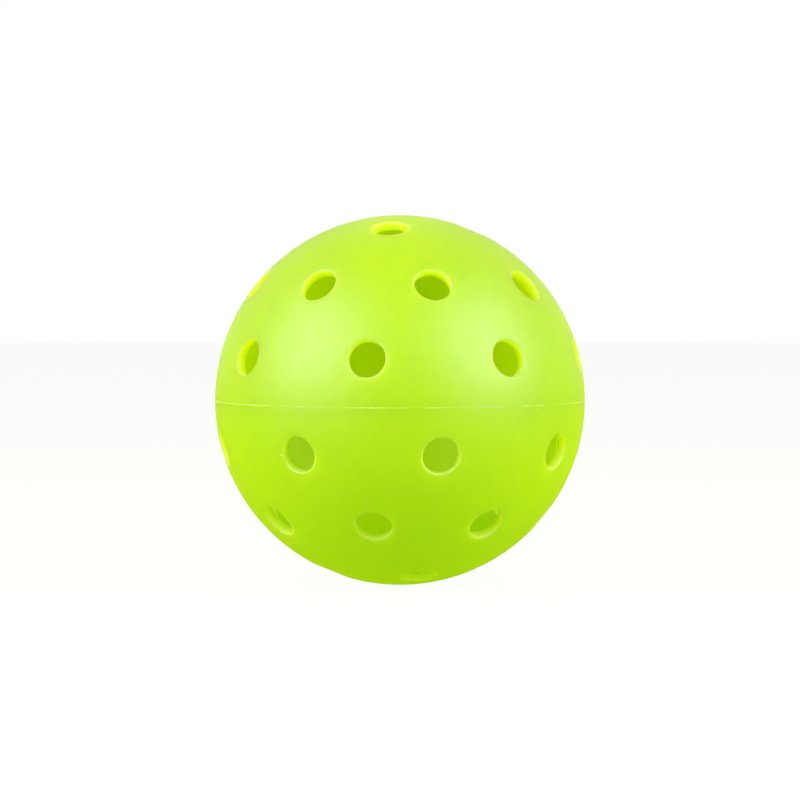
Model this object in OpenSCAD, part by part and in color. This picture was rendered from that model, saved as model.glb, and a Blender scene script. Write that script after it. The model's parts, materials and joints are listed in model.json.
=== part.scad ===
// Pickleball: a hollow ball of two moulded half shells, each drilled with 20 holes, welded at the equator.
// The origin is the ball's centre, +Z runs through the pole of the hole rings, and the weld lies at z = 0.
// Azimuths turn from -Y towards +X.

/* [Shell] */
// Outside diameter of the ball
ball_d = 74; // [72.9:0.1:75.4]
// Wall thickness of both half shells
wall = 1.9; // [1.6:0.1:2.2]

/* [Holes] */
// Diameter of every hole
hole_d = 7.1; // [6.4:0.1:7.6]
// Radius that eases the outer edge of every hole
hole_edge_r = 0.4; // [0.2:0.05:0.7]
// Latitude of the eight holes nearest the weld, in degrees
low_lat = 14.3; // [13:0.1:16]
// Latitude of the eight holes half way up each shell, in degrees
mid_lat = 38.4; // [37:0.1:40]
// Latitude of the four holes nearest each pole, in degrees
top_lat = 67.5; // [65:0.1:69]
// Azimuth of the first hole in the ring just above the weld, in degrees
first_az = -55; // [-67:0.5:-45]
// Azimuth of the first hole round the upper pole, in degrees
upper_top_az = -8; // [-45:1:45]
// Azimuth of the first hole round the lower pole, in degrees
lower_top_az = 16; // [-45:1:45]

/* [Weld] */
// Height of the lip on the upper shell that locates the lower one
lip_h = 1.2; // [0.6:0.1:2]
// Thickness of that lip
lip_t = 0.9; // [0.6:0.1:1]
// Gap round the lip
lip_gap = 0.06; // [0.03:0.01:0.1]
// Width of the V groove round the outside of the joint
groove_w = 0.4; // [0.2:0.05:0.6]
// Height that the outer weld flash stands above the shells
flash_h = 0.06; // [0.02:0.01:0.15]
// Radius of the bead of melted plastic inside the joint
bead_r = 0.7; // [0.4:0.1:1]

/* [Hidden] */
$fn = 96;

ball_r = ball_d / 2;
inner_r = ball_r - wall;
hole_r = hole_d / 2;
lip_r = inner_r + lip_t;
groove_depth = groove_w / 2;

// Every ring is evenly spaced, and each one of eight holes is turned half a pitch from the ring next to it
ring_holes = 8;
top_holes = 4;
stagger_az = first_az - 180 / ring_holes;

// The eased edge is an arc that meets the bore's wall tangentially and runs out just past the ball's surface
edge_x = hole_r + hole_edge_r;
edge_rise = hole_edge_r / 30;
edge_y = sqrt(pow(ball_r - hole_edge_r, 2) - pow(edge_x, 2)) + edge_rise;
cutter_top = ball_r + 1;
cutter_foot = inner_r - 1;

module hole_cutter() {
    rotate_extrude()
        difference() {
            polygon([
                [0, cutter_foot],
                [hole_r, cutter_foot],
                [hole_r, edge_y],
                [edge_x, edge_y],
                [edge_x, cutter_top],
                [0, cutter_top]
            ]);
            translate([edge_x, edge_y]) circle(r = hole_edge_r);
        }
}

// An evenly spaced ring of holes at one latitude, positive above the weld
module hole_ring(lat, start_az, holes) {
    for (i = [0:holes - 1])
        rotate([0, 0, start_az + i * 360 / holes])
            rotate([90 - lat, 0, 0])
                hole_cutter();
}

// The full wall, from the inner to the outer sphere
module ball_wall() {
    difference() {
        sphere(r = ball_r);
        sphere(r = inner_r);
    }
}

// Everything above height z0
module above(z0) {
    translate([-ball_r - 1, -ball_r - 1, z0]) cube([ball_d + 2, ball_d + 2, ball_r + 1 - z0]);
}

// The V groove that both halves leave round the outside of the joint
module joint_groove() {
    rotate_extrude()
        polygon([
            [ball_r - groove_depth, 0],
            [ball_r + groove_depth, -groove_w],
            [ball_r + groove_depth, groove_w]
        ]);
}

module upper_half_shell() {
    color("greenyellow")
        difference() {
            union() {
                intersection() {
                    ball_wall();
                    above(0);
                }
                intersection() {
                    ball_wall();
                    translate([0, 0, -lip_h]) cylinder(h = 2 * lip_h, r = lip_r);
                }
            }
            joint_groove();
            hole_ring(low_lat, first_az, ring_holes);
            hole_ring(mid_lat, stagger_az, ring_holes);
            hole_ring(top_lat, upper_top_az, top_holes);
        }
}

module lower_half_shell() {
    color("yellowgreen")
        difference() {
            ball_wall();
            above(0);
            translate([0, 0, -lip_h - lip_gap]) cylinder(h = 2 * lip_h, r = lip_r + lip_gap);
            joint_groove();
            hole_ring(-low_lat, stagger_az, ring_holes);
            hole_ring(-mid_lat, first_az, ring_holes);
            hole_ring(-top_lat, lower_top_az, top_holes);
        }
}

module outer_weld_flash() {
    color("khaki")
        rotate_extrude()
            polygon([
                [ball_r - groove_depth, 0],
                [ball_r, -groove_depth],
                [ball_r + flash_h, -groove_depth / 2],
                [ball_r + flash_h, groove_depth / 2],
                [ball_r, groove_depth]
            ]);
}

module inner_weld_bead() {
    color("yellow")
        rotate_extrude()
            intersection() {
                translate([inner_r, -lip_h]) circle(r = bead_r);
                circle(r = inner_r, $fn = 720);
            }
}

upper_half_shell();
lower_half_shell();
outer_weld_flash();
inner_weld_bead();
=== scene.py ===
"""Builds the finished look of a two-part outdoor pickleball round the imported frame.

The visual half shells, weld flash and drilling burrs are modelled here in metres, in the frame's own axes.
Azimuths turn from -Y towards +X, and latitudes rise from the weld at z = 0 to the pole at +Z.
"""

import json
import math
import random
import bmesh
import bpy
from mathutils import Matrix, Vector, noise


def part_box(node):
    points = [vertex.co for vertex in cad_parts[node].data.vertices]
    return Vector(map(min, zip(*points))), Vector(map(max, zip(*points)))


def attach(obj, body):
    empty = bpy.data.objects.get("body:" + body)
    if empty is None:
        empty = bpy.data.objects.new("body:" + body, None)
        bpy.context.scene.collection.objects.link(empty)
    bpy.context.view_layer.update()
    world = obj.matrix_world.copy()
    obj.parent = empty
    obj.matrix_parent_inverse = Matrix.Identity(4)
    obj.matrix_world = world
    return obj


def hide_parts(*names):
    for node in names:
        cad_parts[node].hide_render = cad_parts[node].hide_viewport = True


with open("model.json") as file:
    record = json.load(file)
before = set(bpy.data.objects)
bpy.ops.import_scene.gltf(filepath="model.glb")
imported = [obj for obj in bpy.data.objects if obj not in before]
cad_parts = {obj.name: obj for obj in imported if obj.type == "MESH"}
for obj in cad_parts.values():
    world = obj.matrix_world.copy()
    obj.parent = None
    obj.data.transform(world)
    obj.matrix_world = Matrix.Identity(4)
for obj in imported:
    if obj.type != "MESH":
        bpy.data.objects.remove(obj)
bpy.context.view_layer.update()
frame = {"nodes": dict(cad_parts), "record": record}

bl_info = {
    "name": "Pickleball",
    "version": (1, 0, 0),
    "blender": (4, 5, 0),
    "location": "3D View > Sidebar > Pickleball",
    "description": "Models a perforated pickleball round its packed frame and sets up a studio for it",
    "category": "Object",
}

# ---------------------------------------------------------------- sizes read from the frame

UPPER = "upper_half_shell"
LOWER = "lower_half_shell"
FLASH = "outer_weld_flash"
BEAD = "inner_weld_bead"
BODY = "root"

BALL_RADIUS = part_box(UPPER)[1].z
LIP_HEIGHT = -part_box(UPPER)[0].z
INNER_RADIUS = min(v.co.length for v in frame["nodes"][UPPER].data.vertices)
BORE_RADIUS = frame["record"]["mounts"][0]["dims"]["r_mm"] / 1000
FLASH_HALF_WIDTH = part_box(FLASH)[1].z


def hole_axes(node):
    """Unit vectors along the holes of a packed half shell, found from the walls square to its surface."""
    joint_band = 2 * LIP_HEIGHT
    wall_slope = 0.3
    same_hole = math.cos(math.radians(15))
    no_area = 1e-12
    bm = bmesh.new()
    bm.from_mesh(frame["nodes"][node].data)
    totals = []
    for face in bm.faces:
        centre = face.calc_center_median()
        outward = centre.normalized()
        if abs(centre.z) < joint_band or abs(face.normal.dot(outward)) > wall_slope:
            continue
        if face.calc_area() < no_area:
            continue
        share = outward * face.calc_area()
        home = next((t for t in totals if t.normalized().dot(outward) > same_hole), None)
        if home is None:
            totals.append(share)
        else:
            home += share
    bm.free()
    return [total.normalized() for total in totals]


def direction(azimuth, latitude):
    """Unit vector from the ball's centre at an azimuth and a latitude in radians."""
    level = math.cos(latitude)
    return Vector((level * math.sin(azimuth), -level * math.cos(azimuth), math.sin(latitude)))


# ---------------------------------------------------------------- what a user would change


class PickleballShape(bpy.types.PropertyGroup):
    edge_radius: bpy.props.FloatProperty(
        name="Hole edge radius",
        description="Radius that eases the outer edge of every hole",
        default=0.0003,
        min=0.0001,
        max=0.0007,
        precision=5,
        unit="LENGTH",
    )
    inner_edge_radius: bpy.props.FloatProperty(
        name="Inner hole edge radius",
        description="Radius that eases the inner edge of every hole",
        default=0.00012,
        min=0.00005,
        max=0.0003,
        precision=5,
        unit="LENGTH",
    )
    sink_depth: bpy.props.FloatProperty(
        name="Weld sink",
        description="How far the shells draw in at the weld",
        default=0.000008,
        min=0.0,
        max=0.0002,
        precision=5,
        unit="LENGTH",
    )
    sink_width: bpy.props.FloatProperty(
        name="Weld sink width",
        description="Distance from the weld over which the shells draw in",
        default=0.0035,
        min=0.001,
        max=0.01,
        precision=4,
        unit="LENGTH",
    )
    flash_width: bpy.props.FloatProperty(
        name="Flash width",
        description="Width of the trimmed flash that shows round the weld",
        default=0.00016,
        min=0.00005,
        max=0.0004,
        precision=5,
        unit="LENGTH",
    )
    flash_height: bpy.props.FloatProperty(
        name="Flash height",
        description="Mean height of the trimmed flash above the shells",
        default=0.000025,
        min=0.00001,
        max=0.00006,
        precision=6,
        unit="LENGTH",
    )


class PickleballLooks(bpy.types.PropertyGroup):
    lime: bpy.props.FloatVectorProperty(
        name="Lime",
        description="Colour of the moulded polyethylene",
        default=(0.53, 0.945, 0.0),
        min=0.0,
        max=1.0,
        size=3,
        subtype="COLOR",
    )
    deep_lime: bpy.props.FloatVectorProperty(
        name="Deep lime",
        description="Colour where the pigment lies thicker",
        default=(0.49, 0.915, 0.0),
        min=0.0,
        max=1.0,
        size=3,
        subtype="COLOR",
    )
    # also the colour of the painted highlight along the crest of every hole's cut edge
    stressed: bpy.props.FloatVectorProperty(
        name="Stressed plastic and edge highlight",
        description="Colour of plastic whitened at the weld flash, cut edges and scuffs",
        default=(0.84, 0.96, 0.42),
        min=0.0,
        max=1.0,
        size=3,
        subtype="COLOR",
    )
    # painted light: an emission colour in the drilled walls that stands in for light passing through the
    # thin wall
    edge_glow: bpy.props.FloatVectorProperty(
        name="Painted edge light",
        description="Colour that the fluorescent pigment sends out of the drilled walls",
        default=(1.0, 0.92, 0.0),
        min=0.0,
        max=1.0,
        size=3,
        subtype="COLOR",
    )
    # strength of the painted light that glows in the drilled walls
    edge_glow_strength: bpy.props.FloatProperty(
        name="Painted edge light strength",
        description="How strongly the drilled walls glow with the light that the pigment gathers",
        default=0.22,
        min=0.0,
        max=1.0,
    )
    glow_depth: bpy.props.FloatProperty(
        name="Glow depth",
        description="How far light travels inside the plastic",
        default=0.011,
        min=0.0002,
        max=0.02,
        precision=4,
        unit="LENGTH",
    )


class PickleballStudio(bpy.types.PropertyGroup):
    camera_distance: bpy.props.FloatProperty(
        name="Camera distance",
        description="Distance from the ball's centre to the camera",
        default=13 * BALL_RADIUS,
        min=0.2,
        max=2.0,
        unit="LENGTH",
    )
    camera_height: bpy.props.FloatProperty(
        name="Camera elevation",
        description="Angle of the camera above the weld",
        default=math.radians(2.3),
        min=0.0,
        max=math.radians(80),
        subtype="ANGLE",
    )
    ball_share: bpy.props.FloatProperty(
        name="Ball in frame",
        description="Share of the picture's width that the ball fills",
        default=0.4622,
        min=0.1,
        max=0.9,
        subtype="FACTOR",
    )


# ---------------------------------------------------------------- mesh helpers


def spin_round(bm, outline, steps):
    """Turns an outline of (distance from the axis, height) points once round +Z."""
    points = [bm.verts.new((x, 0.0, z)) for x, z in outline]
    edges = [bm.edges.new(pair) for pair in zip(points, points[1:])]
    bmesh.ops.spin(
        bm,
        geom=points + edges,
        cent=(0, 0, 0),
        axis=(0, 0, 1),
        dvec=(0, 0, 0),
        angle=2 * math.pi,
        steps=steps,
        use_merge=True,
        use_duplicate=False,
    )


def arc(centre_x, centre_z, radius, start, end, segments):
    """Points along an arc from one angle to another, both in radians from +X."""
    turns = [start + (end - start) * i / segments for i in range(segments + 1)]
    return [(centre_x + radius * math.cos(t), centre_z + radius * math.sin(t)) for t in turns]


def on_sphere(radius, x):
    """Height of a sphere of that radius at a distance x from the axis."""
    return math.sqrt(radius**2 - x**2)


def finish_mesh(bm, name, material, sharp_angle):
    """Puts a closed mesh into the scene as a smooth piece of the ball, with its real corners kept sharp."""
    bmesh.ops.recalc_face_normals(bm, faces=bm.faces)
    for face in bm.faces:
        face.smooth = True
    for edge in bm.edges:
        edge.smooth = edge.calc_face_angle(0.0) < sharp_angle
    mesh = bpy.data.meshes.new(name)
    bm.to_mesh(mesh)
    bm.free()
    piece = bpy.data.objects.new(name, mesh)
    bpy.context.scene.collection.objects.link(piece)
    mesh.materials.append(material)
    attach(piece, BODY)
    return piece


# ---------------------------------------------------------------- welded shell

HOLES_PER_HALF = 20
HOLE_STEPS = 72
EDGE_SEGMENTS = 6
OUTER_RING = 0.0049
INNER_RING = 0.0046
CLEARED = 0.0053
MIDDLE_RADIUS = (BALL_RADIUS + INNER_RADIUS) / 2
RIM_LAYER = "cut_edge"
BORE_LAYER = "drilled_wall"
# where the pale cut edge lies (whitened plastic and partly a painted highlight along its crest) and how far
# it reaches, in hole edge radii
CUT_CREST = 0.35
CUT_REACH = 0.8
CUT_DEPTH = 1.5
BORE_FADE = 0.15
SMOOTH_INNER_EDGE = 0.5
WELD_LOOPS = (-0.002, -0.0007, 0.0, 0.0007, 0.002)


def hole_outline(shape):
    """Half section of a hole, from the outer sphere round its edge and down the bore to the inner sphere."""
    outer_edge = shape.edge_radius
    inner_edge = shape.inner_edge_radius
    top_x = BORE_RADIUS + outer_edge
    top_z = on_sphere(BALL_RADIUS - outer_edge, top_x)
    foot_x = BORE_RADIUS + inner_edge
    foot_z = on_sphere(INNER_RADIUS + inner_edge, foot_x)
    top_slope = math.atan2(top_z, top_x)
    foot_slope = math.atan2(foot_z, foot_x)
    return [
        (OUTER_RING, on_sphere(BALL_RADIUS, OUTER_RING)),
        *arc(top_x, top_z, outer_edge, top_slope, math.pi, EDGE_SEGMENTS),
        *arc(foot_x, foot_z, inner_edge, math.pi, math.pi + foot_slope, 2),
        (INNER_RING, on_sphere(INNER_RADIUS, INNER_RING)),
    ]


def hole_lining(shape):
    """Mesh of the lining of one hole, upright on +Z."""
    bm = bmesh.new()
    spin_round(bm, hole_outline(shape), HOLE_STEPS)
    lining = bpy.data.meshes.new("hole_lining")
    bm.to_mesh(lining)
    bm.free()
    return lining


def from_axis(point, axis):
    """Distance of a point from an axis through the ball's centre, or infinity on the far side."""
    along = point.dot(axis)
    return (point - axis * along).length if along > 0 else math.inf


def open_hole(bm, axis, lining):
    """Clears both spheres round an axis, sets the lining there and joins it to the spheres."""
    bmesh.ops.delete(bm, geom=[v for v in bm.verts if from_axis(v.co, axis) < CLEARED], context="VERTS")
    turned = lining.copy()
    turned.transform(axis.to_track_quat("Z", "Y").to_matrix().to_4x4())
    bm.from_mesh(turned)
    bpy.data.meshes.remove(turned)
    rims = [e for e in bm.edges if e.is_boundary]
    bmesh.ops.bridge_loops(bm, edges=[e for e in rims if e.verts[0].co.length > MIDDLE_RADIUS])
    bmesh.ops.bridge_loops(bm, edges=[e for e in rims if e.verts[0].co.length < MIDDLE_RADIUS])


def draw_in_at_weld(bm, shape):
    """Draws the outer surface in a little towards the weld, as the melt does when it cools."""
    for level in WELD_LOOPS:
        geom = [*bm.verts, *bm.edges, *bm.faces]
        bmesh.ops.bisect_plane(bm, geom=geom, dist=1e-5, plane_co=(0, 0, level), plane_no=(0, 0, 1))
    for vert in bm.verts:
        if vert.co.length > MIDDLE_RADIUS:
            depth = shape.sink_depth * math.exp(-abs(vert.co.z) / shape.sink_width)
            vert.co *= 1 - depth / BALL_RADIUS


def mark_cuts(bm, axes, shape):
    """Stores where the cut edges and the drilled walls lie, for the material's whitened edges with their
    painted highlight and the drilled walls' painted light.
    """
    rim = bm.verts.layers.float.new(RIM_LAYER)
    bore = bm.verts.layers.float.new(BORE_LAYER)
    crest = BORE_RADIUS + CUT_CREST * shape.edge_radius
    for vert in bm.verts:
        away = min(from_axis(vert.co, axis) for axis in axes)
        depth = BALL_RADIUS - vert.co.length
        if depth < CUT_DEPTH * shape.edge_radius:
            vert[rim] = max(0.0, 1 - abs(away - crest) / (CUT_REACH * shape.edge_radius))
        if vert.co.length > INNER_RADIUS + SMOOTH_INNER_EDGE * shape.inner_edge_radius:
            vert[bore] = max(0.0, 1 - (away - BORE_RADIUS) / (BORE_FADE * shape.edge_radius))


class PICKLEBALL_OT_shell(bpy.types.Operator):
    """Model both half shells as the one wall that the weld makes of them, with all its eased holes"""

    bl_idname = "pickleball.shell"
    bl_label = "Welded shell"

    def execute(self, context):
        shape = context.scene.pickleball_shape
        axes = []
        for node in (UPPER, LOWER):
            found = hole_axes(node)
            if len(found) != HOLES_PER_HALF:
                raise RuntimeError(f"{node} shows {len(found)} holes, not {HOLES_PER_HALF}")
            axes += found
        bm = bmesh.new()
        bmesh.ops.create_icosphere(bm, subdivisions=7, radius=BALL_RADIUS)
        bmesh.ops.create_icosphere(bm, subdivisions=6, radius=INNER_RADIUS)
        lining = hole_lining(shape)
        for axis in axes:
            open_hole(bm, axis, lining)
        bpy.data.meshes.remove(lining)
        draw_in_at_weld(bm, shape)
        mark_cuts(bm, axes, shape)
        piece = finish_mesh(bm, "welded_shell", lime_polyethylene(), math.radians(50))
        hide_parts(UPPER, LOWER)
        return {"FINISHED"}


# ---------------------------------------------------------------- weld

FLASH_STEPS = 900
FLASH_WANDER = 0.00004
# how ragged the flash is: share of fine over coarse noise, mean, gain, and limits in flash heights
FINE_SHARE = 0.8
RAGGED_MEAN = 0.15
RAGGED_GAIN = 2.2
LOWEST_NOTCH = -1.6
HIGHEST_TAG = 0.9


class PICKLEBALL_OT_weld(bpy.types.Operator):
    """Model the thin ragged flash outside the weld and finish the bead inside it"""

    bl_idname = "pickleball.weld"
    bl_label = "Weld"

    def execute(self, context):
        shape = context.scene.pickleball_shape
        foot = BALL_RADIUS - FLASH_HALF_WIDTH
        skin = BALL_RADIUS - shape.sink_depth
        crest = shape.flash_height
        half = shape.flash_width / 2
        bm = bmesh.new()
        spin_round(
            bm,
            [
                (foot, 0.0),
                (skin, -half),
                (skin + crest, -half / 2),
                (skin + crest, half / 2),
                (skin, half),
                (foot, 0.0),
            ],
            FLASH_STEPS,
        )
        bmesh.ops.remove_doubles(bm, verts=bm.verts, dist=1e-7)
        for vert in bm.verts:
            level = Vector((vert.co.x, vert.co.y, 0.0)).normalized()
            wander = noise.noise(level * 9 + Vector((0, 7.7, 0)))
            vert.co.z += FLASH_WANDER * wander
            if vert.co.xy.length > skin + crest / 2:
                fine = noise.noise(level * 60 + Vector((3.1, 0, 0)))
                ragged = noise.noise(level * 12) + FINE_SHARE * fine - RAGGED_MEAN
                vert.co += level * crest * max(LOWEST_NOTCH, min(HIGHEST_TAG, RAGGED_GAIN * ragged))
        piece = finish_mesh(bm, "weld_flash", whitened_plastic(), math.radians(60))
        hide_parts(FLASH)
        bead = frame["nodes"][BEAD]
        bead.data.materials.clear()
        bead.data.materials.append(melted_plastic())
        return {"FINISHED"}


# ---------------------------------------------------------------- burrs and specks

BURR_EVERY = 3
BURR_LENGTH = 0.0007
BURR_WIDTH = 0.0003
BURR_HEIGHT = 0.00007
CHIP_ROUGHNESS = 0.00006
CHIP_GRAIN = 4000
SPECK_COUNT = 14
SPECK_WIDTH = 0.0003
SPECK_SEED = 5
SPECK_REACH = 0.95
GOLDEN_ANGLE = math.pi * (3 - math.sqrt(5))


# noise_vector differs from one run to the next, so the three parts come from the steady noise function
JITTER_SHIFTS = (0.0, 31.7, 63.4)


def jitter(point):
    """A small vector that is always the same at the same point."""
    return Vector([noise.noise(point + Vector((shift, 0, 0))) for shift in JITTER_SHIFTS])


def place_chip(bm, out, length, width, turn):
    """Sets one low chip of torn plastic on the ball at a direction from its centre."""
    stand = out.to_track_quat("Z", "Y").to_matrix().to_4x4()
    size = Matrix.Diagonal((length / 2, width / 2, BURR_HEIGHT, 1.0))
    place = Matrix.Translation(out * BALL_RADIUS) @ stand @ Matrix.Rotation(turn, 4, "Z") @ size
    made = bmesh.ops.create_icosphere(bm, subdivisions=3, radius=1.0, matrix=place)["verts"]
    for vert in made:
        vert.co += CHIP_ROUGHNESS * jitter(vert.co * CHIP_GRAIN)


class PICKLEBALL_OT_burrs(bpy.types.Operator):
    """Leave a burr on the rim of every third hole and scatter a few specks over the shells"""

    bl_idname = "pickleball.burrs"
    bl_label = "Burrs"

    def execute(self, context):
        shape = context.scene.pickleball_shape
        axes = hole_axes(UPPER) + hole_axes(LOWER)
        axes.sort(key=lambda axis: (round(axis.z, 2), round(math.atan2(axis.x, -axis.y), 2)))
        rim = (BORE_RADIUS + shape.edge_radius) / BALL_RADIUS
        bm = bmesh.new()
        for number, axis in enumerate(axes[::BURR_EVERY]):
            clock = number * GOLDEN_ANGLE
            across = Matrix.Rotation(clock, 3, axis) @ axis.orthogonal().normalized()
            out = (axis * math.cos(rim) + across * math.sin(rim)).normalized()
            place_chip(bm, out, BURR_LENGTH, BURR_WIDTH, clock)
        draw = random.Random(SPECK_SEED)
        for _ in range(SPECK_COUNT):
            azimuth = draw.uniform(-math.pi, math.pi)
            out = direction(azimuth, math.asin(draw.uniform(-SPECK_REACH, SPECK_REACH)))
            if min(from_axis(out * BALL_RADIUS, axis) for axis in axes) > CLEARED:
                place_chip(bm, out, SPECK_WIDTH, SPECK_WIDTH, 0.0)
        finish_mesh(bm, "drilling_burrs", torn_plastic(), math.radians(80))
        return {"FINISHED"}


# ---------------------------------------------------------------- shader groups


def new_group(name, inputs, outputs):
    """An empty shader node group with float and colour sockets, and its ends."""
    group = bpy.data.node_groups.new(name, "ShaderNodeTree")
    for label, kind, default in inputs:
        socket = group.interface.new_socket(label, in_out="INPUT", socket_type=kind)
        socket.default_value = default
    for label, kind in outputs:
        group.interface.new_socket(label, in_out="OUTPUT", socket_type=kind)
    return group, group.nodes.new("NodeGroupInput"), group.nodes.new("NodeGroupOutput")


def add(tree, kind, **settings):
    """A node with its settings and the default values of its named inputs."""
    node = tree.nodes.new(kind)
    for key, value in settings.items():
        if key in node.inputs:
            node.inputs[key].default_value = value
        else:
            setattr(node, key, value)
    return node


def maths(tree, operation, first, second):
    """The result of a Math node on two sockets or numbers."""
    node = tree.nodes.new("ShaderNodeMath")
    node.operation = operation
    for socket, value in zip(node.inputs, (first, second)):
        if isinstance(value, (int, float)):
            socket.default_value = value
        else:
            tree.links.new(value, socket)
    return node.outputs[0]


def fine_noise(tree, place, scale, detail):
    """Factor of a noise texture at a scale, in cycles per metre."""
    texture = add(tree, "ShaderNodeTexNoise", Scale=scale, Detail=detail)
    tree.links.new(place, texture.inputs["Vector"])
    return texture.outputs["Fac"]


def between(tree, value, low, high):
    """A value stretched so that low becomes 0 and high becomes 1, held inside those."""
    node = add(tree, "ShaderNodeMapRange")
    node.inputs["From Min"].default_value = low
    node.inputs["From Max"].default_value = high
    tree.links.new(value, node.inputs["Value"])
    return node.outputs["Result"]


def moulded_grain():
    """Height, shine and pale flecks of the fine grain that a blasted mould leaves, over a slow waviness; the
    flecks are painted glints of the grain.
    """
    found = bpy.data.node_groups.get("moulded_grain")
    if found:
        return found
    group, start, end = new_group(
        "moulded_grain",
        [("Grain", "NodeSocketFloat", 1.0), ("Waviness", "NodeSocketFloat", 1.0)],
        [("Height", "NodeSocketFloat"), ("Shine", "NodeSocketFloat"), ("Flecks", "NodeSocketFloat")],
    )
    place = group.nodes.new("ShaderNodeTexCoord").outputs["Object"]
    grain = maths(group, "MULTIPLY", fine_noise(group, place, 2600, 2), start.outputs["Grain"])
    wave = maths(group, "MULTIPLY", fine_noise(group, place, 130, 2), start.outputs["Waviness"])
    group.links.new(maths(group, "ADD", grain, wave), end.inputs["Height"])
    group.links.new(between(group, fine_noise(group, place, 320, 3), 0.3, 0.7), end.inputs["Shine"])
    group.links.new(between(group, fine_noise(group, place, 3300, 2), 0.42, 0.75), end.inputs["Flecks"])
    return group


def handling_marks():
    """Masks of the specks and hairline scuffs that a ball picks up in play."""
    found = bpy.data.node_groups.get("handling_marks")
    if found:
        return found
    group, start, end = new_group(
        "handling_marks",
        [("Speck Size", "NodeSocketFloat", 0.05), ("Scuffs", "NodeSocketFloat", 1.0)],
        [("Specks", "NodeSocketFloat"), ("Scuffs", "NodeSocketFloat")],
    )
    place = group.nodes.new("ShaderNodeTexCoord").outputs["Object"]
    cells = add(group, "ShaderNodeTexVoronoi", Scale=210)
    group.links.new(place, cells.inputs["Vector"])
    near = maths(group, "LESS_THAN", cells.outputs["Distance"], start.outputs["Speck Size"])
    rare = add(group, "ShaderNodeSeparateColor")
    group.links.new(cells.outputs["Color"], rare.inputs["Color"])
    chosen = maths(group, "GREATER_THAN", rare.outputs["Red"], 0.55)
    group.links.new(maths(group, "MULTIPLY", near, chosen), end.inputs["Specks"])
    stretch = add(group, "ShaderNodeMapping")
    stretch.inputs["Rotation"].default_value = (0.4, 0.9, 0.3)
    stretch.inputs["Scale"].default_value = (1.0, 1.0, 0.05)
    group.links.new(place, stretch.inputs["Vector"])
    hair = fine_noise(group, stretch.outputs["Vector"], 1500, 1)
    patch = between(group, fine_noise(group, place, 60, 1), 0.56, 0.66)
    line = between(group, hair, 0.73, 0.78)
    scuffed = maths(group, "MULTIPLY", maths(group, "MULTIPLY", line, patch), start.outputs["Scuffs"])
    group.links.new(scuffed, end.inputs["Scuffs"])
    return group


def place_group(tree, group, **values):
    """A group in a material's tree, with its own values."""
    node = tree.nodes.new("ShaderNodeGroup")
    node.node_tree = group
    for key, value in values.items():
        node.inputs[key.replace("_", " ")].default_value = value
    return node


def mixed_colour(tree, share, first, second):
    """A colour between two colours or sockets."""
    node = tree.nodes.new("ShaderNodeMix")
    node.data_type = "RGBA"
    for label, value in (("A", first), ("B", second)):
        socket = next(s for s in node.inputs if s.name == label and s.type == "RGBA")
        if isinstance(value, bpy.types.NodeSocket):
            tree.links.new(value, socket)
        else:
            socket.default_value = (*value, 1.0)
    tree.links.new(share, node.inputs["Factor"])
    return next(s for s in node.outputs if s.type == "RGBA")


# ---------------------------------------------------------------- materials


def new_material(name):
    """A material with an empty tree and its Principled shader."""
    material = bpy.data.materials.new(name)
    material.use_nodes = True
    tree = material.node_tree
    tree.nodes.clear()
    shader = tree.nodes.new("ShaderNodeBsdfPrincipled")
    output = tree.nodes.new("ShaderNodeOutputMaterial")
    tree.links.new(shader.outputs["BSDF"], output.inputs["Surface"])
    return material, tree, shader


def translucent(shader, depth, share):
    """Lets light travel inside the plastic, red and green further than blue."""
    shader.inputs["Subsurface Weight"].default_value = share
    shader.inputs["Subsurface Scale"].default_value = depth
    shader.inputs["Subsurface Radius"].default_value = (1.2, 1.0, 0.15)
    shader.inputs["IOR"].default_value = PLASTIC_IOR
    shader.inputs["Specular IOR Level"].default_value = 0.85


def roughness_and_bump(tree, shader, grain, smooth, rough, distance):
    """Feeds the shader's roughness and normal from a grain group."""
    shine = add(tree, "ShaderNodeMapRange")
    shine.inputs["To Min"].default_value = smooth
    shine.inputs["To Max"].default_value = rough
    tree.links.new(grain.outputs["Shine"], shine.inputs["Value"])
    tree.links.new(shine.outputs["Result"], shader.inputs["Roughness"])
    bump = add(tree, "ShaderNodeBump", Strength=1.0, Distance=distance)
    tree.links.new(grain.outputs["Height"], bump.inputs["Height"])
    tree.links.new(bump.outputs["Normal"], shader.inputs["Normal"])


# heights over which the painted light in the drilled walls grows to full, brighter towards the top where the
# lamps stand, and its share below them
GLOW_HEIGHTS = (-0.03, 0.008)
LOW_GLOW = 0.42
GRAIN_BUMP = 0.00002
PLASTIC_IOR = 1.5
TORN_WHITE = (0.93, 0.97, 0.72)
# painted glints: a lighter lime speckle in the colour that stands in for the sparkle of the grain
FLECK_STRENGTH = 0.3
FLECK_COLOUR = (0.72, 1.0, 0.02)
MELT_COLOUR = (0.56, 0.95, 0.0)
# painted light: the bead glows by emission in place of the light that would pass through it
MELT_GLOW = (0.3, 0.55, 0.0)
MELT_GLOW_STRENGTH = 0.13


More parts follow.
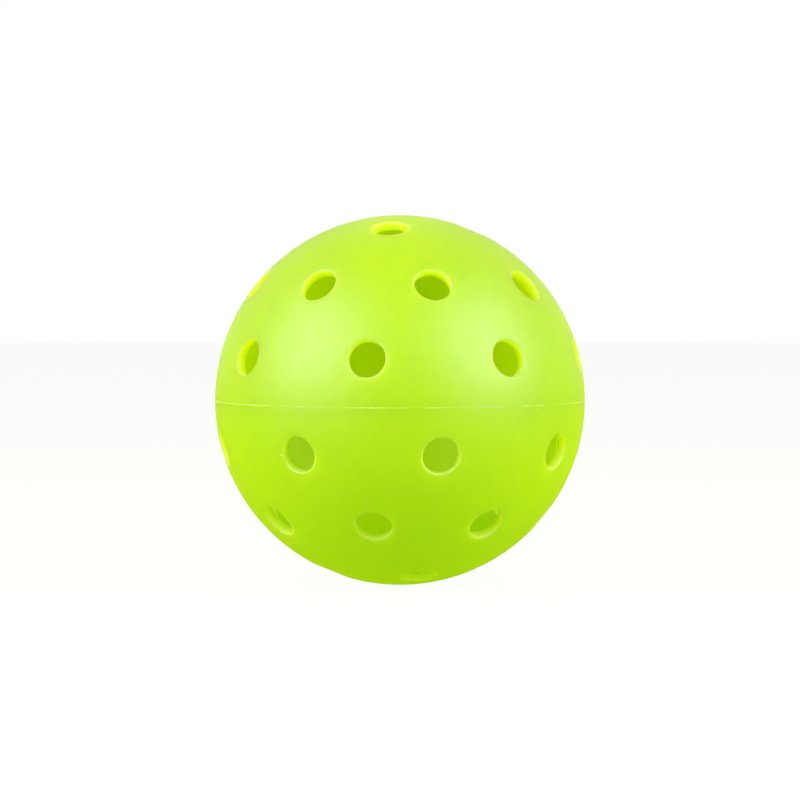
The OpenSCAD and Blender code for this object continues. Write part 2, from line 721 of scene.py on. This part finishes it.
def lime_polyethylene():
    """The satin lime plastic of the shells: translucent, finely grained, with pale cut edges and marks,
    painted glints in its grain, a painted highlight along the hole edges and painted light glowing in the
    drilled walls.
    """
    found = bpy.data.materials.get("lime_polyethylene")
    if found:
        return found
    looks = bpy.context.scene.pickleball_looks
    material, tree, shader = new_material("lime_polyethylene")
    place = tree.nodes.new("ShaderNodeTexCoord").outputs["Object"]
    pigment = between(tree, fine_noise(tree, place, 45, 3), 0.35, 0.65)
    colour = mixed_colour(tree, pigment, looks.lime, looks.deep_lime)
    grain = place_group(tree, moulded_grain(), Grain=0.6, Waviness=1.0)
    # painted glints: the grain's sparkle is mixed into the colour as lighter flecks
    flecks = maths(tree, "MULTIPLY", grain.outputs["Flecks"], FLECK_STRENGTH)
    colour = mixed_colour(tree, flecks, colour, FLECK_COLOUR)
    # painted highlight: the pale line along the crest of each hole's outer edge is partly whitened plastic
    # and partly a painted highlight
    rim = add(tree, "ShaderNodeAttribute", attribute_name=RIM_LAYER).outputs["Fac"]
    worn = maths(tree, "MULTIPLY", rim, between(tree, fine_noise(tree, place, 700, 3), 0.2, 0.6))
    colour = mixed_colour(tree, maths(tree, "MULTIPLY", worn, 0.55), colour, looks.stressed)
    marks = place_group(tree, handling_marks(), Speck_Size=0.035, Scuffs=0.6)
    pale = maths(tree, "MAXIMUM", marks.outputs["Specks"], marks.outputs["Scuffs"])
    colour = mixed_colour(tree, maths(tree, "MULTIPLY", pale, 0.7), colour, looks.stressed)
    tree.links.new(colour, shader.inputs["Base Color"])
    roughness_and_bump(tree, shader, grain, 0.42, 0.5, GRAIN_BUMP)
    translucent(shader, looks.glow_depth, 1.0)
    # painted light: the drilled walls glow by emission, stronger higher up, in place of light that passes
    # through the wall
    bore = add(tree, "ShaderNodeAttribute", attribute_name=BORE_LAYER).outputs["Fac"]
    height = add(tree, "ShaderNodeSeparateXYZ")
    tree.links.new(place, height.inputs["Vector"])
    above = between(tree, height.outputs["Z"], *GLOW_HEIGHTS)
    gathered = maths(tree, "MULTIPLY", bore, maths(tree, "MAXIMUM", above, LOW_GLOW))
    glow = mixed_colour(tree, gathered, (0.0, 0.0, 0.0), looks.edge_glow)
    tree.links.new(glow, shader.inputs["Emission Color"])
    shader.inputs["Emission Strength"].default_value = looks.edge_glow_strength
    return material


def melted_plastic():
    """The bead of melt inside the weld, smoother than the shells, with painted light from a glow in place of
    translucency.
    """
    found = bpy.data.materials.get("melted_plastic")
    if found:
        return found
    material, tree, shader = new_material("melted_plastic")
    shader.inputs["Base Color"].default_value = (*MELT_COLOUR, 1.0)
    shader.inputs["IOR"].default_value = PLASTIC_IOR
    grain = place_group(tree, moulded_grain(), Grain=0.1, Waviness=1.0)
    roughness_and_bump(tree, shader, grain, 0.3, 0.4, GRAIN_BUMP)
    # painted light: a constant glow stands in for light passing through the bead
    shader.inputs["Emission Color"].default_value = (*MELT_GLOW, 1.0)
    shader.inputs["Emission Strength"].default_value = MELT_GLOW_STRENGTH
    return material


def stretched_plastic(name, base, pale, low, high):
    """Plastic that whitened where it was drawn out, patchy between two colours."""
    found = bpy.data.materials.get(name)
    if found:
        return found
    material, tree, shader = new_material(name)
    place = tree.nodes.new("ShaderNodeTexCoord").outputs["Object"]
    drawn = between(tree, fine_noise(tree, place, 260, 4), low, high)
    tree.links.new(mixed_colour(tree, drawn, base, pale), shader.inputs["Base Color"])
    grain = place_group(tree, moulded_grain(), Grain=0.6, Waviness=0.3)
    roughness_and_bump(tree, shader, grain, 0.35, 0.5, GRAIN_BUMP)
    shader.inputs["IOR"].default_value = PLASTIC_IOR
    return material


def whitened_plastic():
    """The thin flash of the weld, whitened where it was drawn out and trimmed."""
    looks = bpy.context.scene.pickleball_looks
    return stretched_plastic("whitened_plastic", looks.lime, looks.stressed, 0.4, 0.62)


def torn_plastic():
    """The almost white curls and specks that the drill and a knock leave."""
    looks = bpy.context.scene.pickleball_looks
    return stretched_plastic("torn_plastic", looks.stressed, TORN_WHITE, 0.3, 0.45)


# ---------------------------------------------------------------- studio


def aimed_at_ball(away, distance):
    """Place of a lamp or camera that looks at the ball's centre from a direction."""
    return Matrix.Translation(away * distance) @ away.to_track_quat("Z", "Y").to_matrix().to_4x4()


# Two matching soft lights stand either side of the ball, each a wide diffuser with a smaller box in front.
LAMP_AZIMUTH = 60
LAMP_ELEVATION = 30
LAMP_DISTANCE = 0.6
DIFFUSER_WIDTH = 0.6
BOX_WIDTH = 0.3
KEY_POWER = 3.3
BOX_SHARE = 0.25
BACKDROP_LEVEL = 0.85
FILL_LEVEL = 0.1
FILL_COLOUR = (1.0, 1.0, 0.03)
FLOOR_COLOUR = (0.78, 1.0, 0.02)
FLOOR_GLOW = 0.68
FLOOR_PAINT = (0.08, 0.08, 0.04, 1)
FLOOR_SEEN = 0.94
FLOOR_RADIUS = 3.0
SENSOR_WIDTH = 36


def add_soft_box(name, azimuth, width, power):
    """A square area light aimed at the ball."""
    light = bpy.data.lights.new(name, "AREA")
    light.shape = "SQUARE"
    light.size = width
    light.energy = power
    lamp = bpy.data.objects.new(name, light)
    away = direction(math.radians(azimuth), math.radians(LAMP_ELEVATION))
    lamp.matrix_world = aimed_at_ball(away, LAMP_DISTANCE)
    lamp.visible_camera = False
    bpy.context.scene.collection.objects.link(lamp)


def camera_switch(tree, seen, otherwise):
    """One strength for what the camera sees and another for what lights the ball."""
    ray = tree.nodes.new("ShaderNodeLightPath").outputs["Is Camera Ray"]
    extra = maths(tree, "MULTIPLY", ray, seen)
    rest = maths(tree, "MULTIPLY", maths(tree, "SUBTRACT", 1.0, ray), otherwise)
    return ray, maths(tree, "ADD", extra, rest)


def pale_floor():
    """The pale floor: white to the camera, and a tinted glow as a light source for the ball."""
    material = bpy.data.materials.new("pale_floor")
    material.use_nodes = True
    tree = material.node_tree
    tree.nodes.clear()
    paint = add(tree, "ShaderNodeBsdfDiffuse", Color=FLOOR_PAINT)
    ray, level = camera_switch(tree, FLOOR_SEEN, FLOOR_GLOW)
    glow = add(tree, "ShaderNodeEmission")
    tree.links.new(mixed_colour(tree, ray, FLOOR_COLOUR, (1, 1, 1)), glow.inputs["Color"])
    tree.links.new(level, glow.inputs["Strength"])
    both = tree.nodes.new("ShaderNodeAddShader")
    output = tree.nodes.new("ShaderNodeOutputMaterial")
    tree.links.new(paint.outputs[0], both.inputs[0])
    tree.links.new(glow.outputs[0], both.inputs[1])
    tree.links.new(both.outputs[0], output.inputs["Surface"])
    return material


def white_surroundings(world):
    """White to the camera; to the ball, a bright backdrop behind it and a tinted fill in front."""
    world.use_nodes = True
    tree = world.node_tree
    tree.nodes.clear()
    place = tree.nodes.new("ShaderNodeTexCoord")
    split = tree.nodes.new("ShaderNodeSeparateXYZ")
    tree.links.new(place.outputs["Generated"], split.inputs[0])
    depth = split.outputs["Y"]
    behind = maths(tree, "MULTIPLY", maths(tree, "MAXIMUM", depth, 0.0), BACKDROP_LEVEL)
    ahead = maths(tree, "MULTIPLY", depth, -1.0)
    before = maths(tree, "MULTIPLY", maths(tree, "MAXIMUM", ahead, 0.0), FILL_LEVEL)
    ray, level = camera_switch(tree, 1.0, maths(tree, "ADD", behind, before))
    front = maths(tree, "LESS_THAN", depth, 0.0)
    warm = maths(tree, "MULTIPLY", front, maths(tree, "SUBTRACT", 1.0, ray))
    sky = tree.nodes.new("ShaderNodeBackground")
    tree.links.new(mixed_colour(tree, warm, (1, 1, 1), FILL_COLOUR), sky.inputs["Color"])
    tree.links.new(level, sky.inputs["Strength"])
    output = tree.nodes.new("ShaderNodeOutputWorld")
    tree.links.new(sky.outputs[0], output.inputs["Surface"])


class PICKLEBALL_OT_stage(bpy.types.Operator):
    """Lay a pale floor and set up the soft boxes, the surroundings and the camera"""

    bl_idname = "pickleball.stage"
    bl_label = "Stage"

    def execute(self, context):
        scene = context.scene
        studio = scene.pickleball_studio
        bm = bmesh.new()
        bmesh.ops.create_circle(bm, cap_ends=True, segments=96, radius=FLOOR_RADIUS)
        bmesh.ops.translate(bm, verts=bm.verts, vec=(0, 0, -BALL_RADIUS))
        mesh = bpy.data.meshes.new("floor")
        bm.to_mesh(mesh)
        bm.free()
        floor = bpy.data.objects.new("floor", mesh)
        scene.collection.objects.link(floor)
        mesh.materials.append(pale_floor())
        for side, azimuth in (("left", -LAMP_AZIMUTH), ("right", LAMP_AZIMUTH)):
            add_soft_box(f"{side}_diffuser", azimuth, DIFFUSER_WIDTH, KEY_POWER)
            add_soft_box(f"{side}_box", azimuth, BOX_WIDTH, KEY_POWER * BOX_SHARE)
        scene.world = bpy.data.worlds.new("surroundings")
        white_surroundings(scene.world)
        scene.view_settings.view_transform = "Standard"
        scene.cycles.max_bounces = 16
        scene.cycles.diffuse_bounces = 10
        camera = bpy.data.objects.new("camera", bpy.data.cameras.new("camera"))
        away = direction(0.0, studio.camera_height)
        camera.matrix_world = aimed_at_ball(away, studio.camera_distance)
        half_view = math.tan(math.asin(BALL_RADIUS / studio.camera_distance))
        camera.data.sensor_width = SENSOR_WIDTH
        camera.data.lens = camera.data.sensor_width / 2 * studio.ball_share / half_view
        camera.data.clip_start = 0.01
        scene.collection.objects.link(camera)
        scene.camera = camera
        return {"FINISHED"}


# ---------------------------------------------------------------- add-on


class PICKLEBALL_PT_sidebar(bpy.types.Panel):
    bl_label = "Pickleball"
    bl_idname = "PICKLEBALL_PT_sidebar"
    bl_space_type = "VIEW_3D"
    bl_region_type = "UI"
    bl_category = "Pickleball"

    def draw(self, context):
        for group in GROUPS:
            settings = getattr(context.scene, group)
            for name in settings.bl_rna.properties.keys():
                if name not in ("rna_type", "name"):
                    self.layout.prop(settings, name)
        for operator in OPERATORS:
            self.layout.operator(operator.bl_idname)


GROUPS = {
    "pickleball_shape": PickleballShape,
    "pickleball_looks": PickleballLooks,
    "pickleball_studio": PickleballStudio,
}
OPERATORS = (PICKLEBALL_OT_shell, PICKLEBALL_OT_weld, PICKLEBALL_OT_burrs, PICKLEBALL_OT_stage)


def register():
    for cls in (*GROUPS.values(), *OPERATORS, PICKLEBALL_PT_sidebar):
        bpy.utils.register_class(cls)
    for name, cls in GROUPS.items():
        setattr(bpy.types.Scene, name, bpy.props.PointerProperty(type=cls))


def unregister():
    for name in GROUPS:
        delattr(bpy.types.Scene, name)
    for cls in (PICKLEBALL_PT_sidebar, *OPERATORS, *GROUPS.values()):
        bpy.utils.unregister_class(cls)


def main():
    register()
    bpy.ops.pickleball.shell()
    bpy.ops.pickleball.weld()
    bpy.ops.pickleball.burrs()
    bpy.ops.pickleball.stage()


if __name__ == "__main__":
    main()
